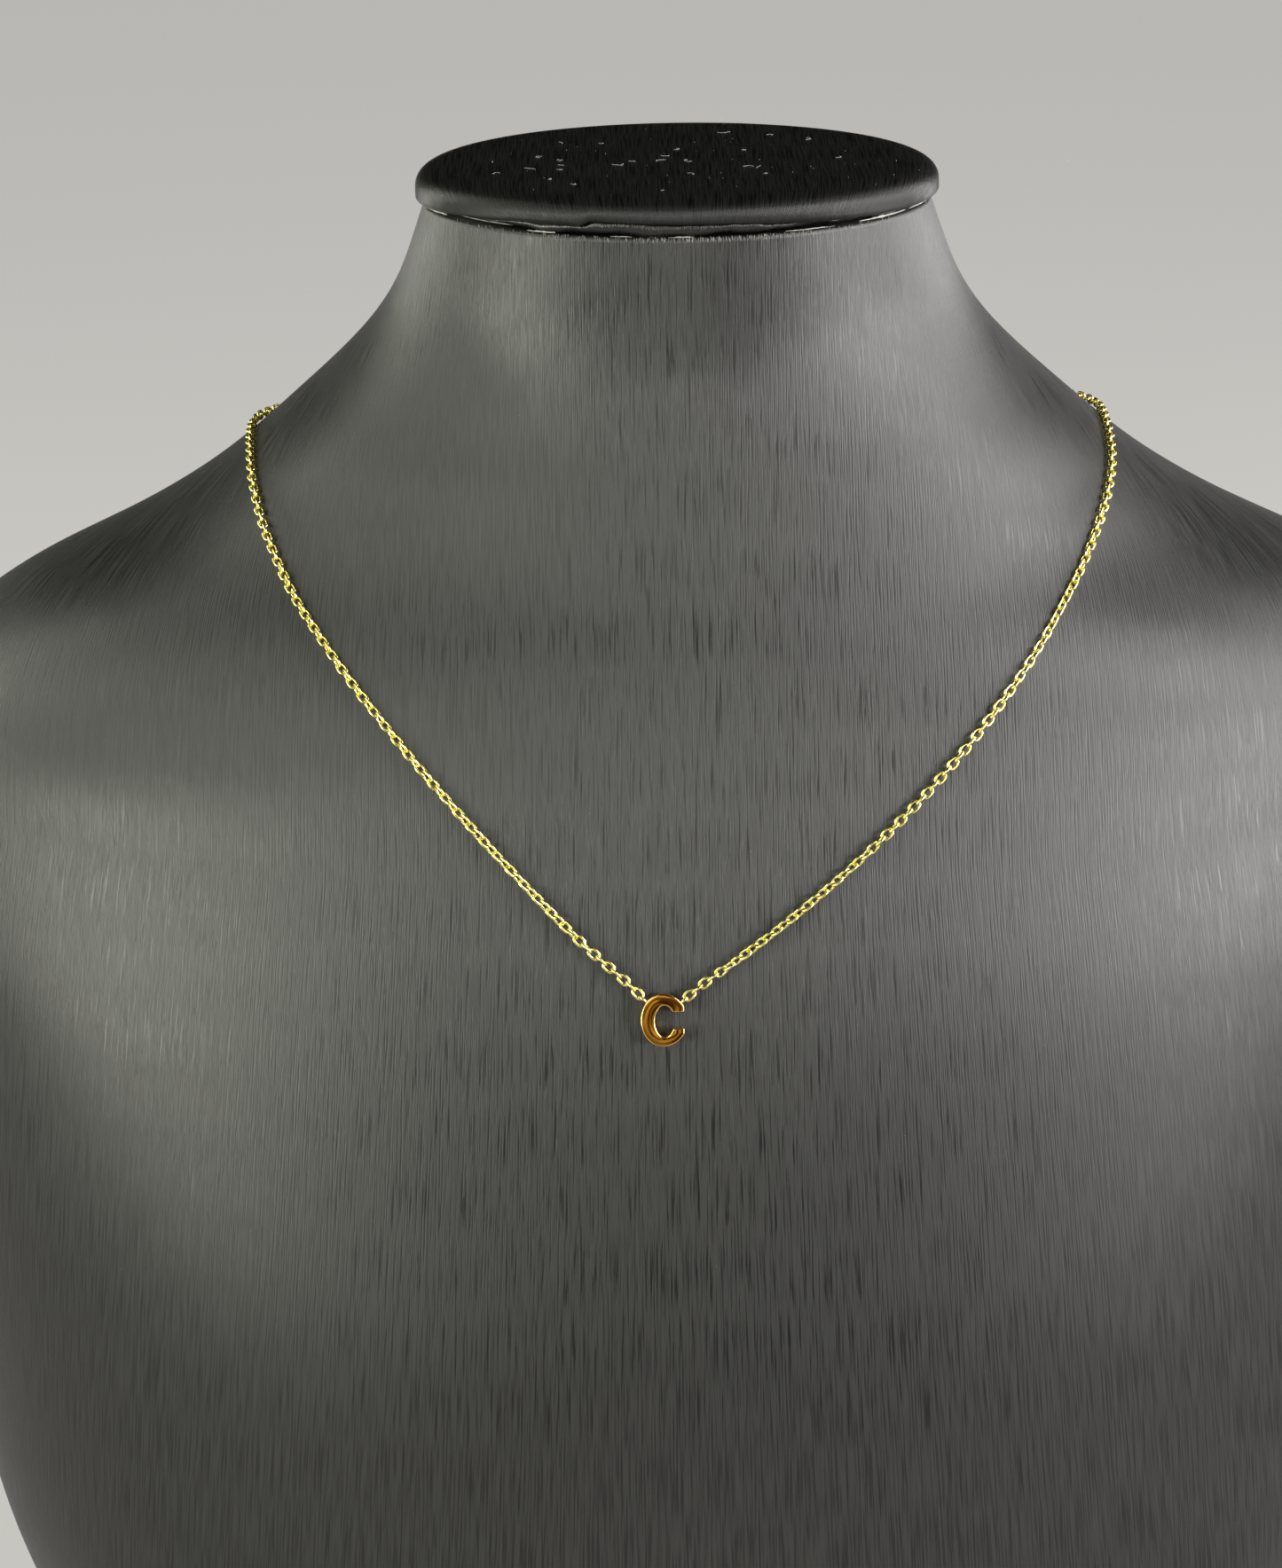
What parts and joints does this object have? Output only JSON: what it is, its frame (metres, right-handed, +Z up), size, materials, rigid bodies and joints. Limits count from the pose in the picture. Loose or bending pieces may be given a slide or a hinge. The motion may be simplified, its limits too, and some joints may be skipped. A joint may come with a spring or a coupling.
{
  "type": "initial pendant necklace on a neck bust",
  "caption": "Small polished gold letter C pendant fixed between the two halves of a fine cable chain, worn by a black leatherette neck bust with a padded neck cap.",
  "frame": {"origin": "middle of the underside of the base board, under the middle of the whole", "axes": "+X across to the wearer's left, -Y the way the chest and the letter's face look, +Z up"},
  "size_m": [0.2718, 0.1499, 0.247],
  "materials": {
    "leatherette": "black brushed leatherette, satin",
    "board": "fibreboard painted matt black",
    "letter_gold": "gold, polished",
    "chain_gold": "pale yellow gold, polished wire"
  },
  "bodies": {
    "root": {"bust_body": "leatherette", "base_board": "board", "neck_cap": "leatherette", "letter_c": "letter_gold", "chain_left": "chain_gold", "chain_right": "chain_gold", "clasp": "chain_gold"}
  },
  "joints": []
}
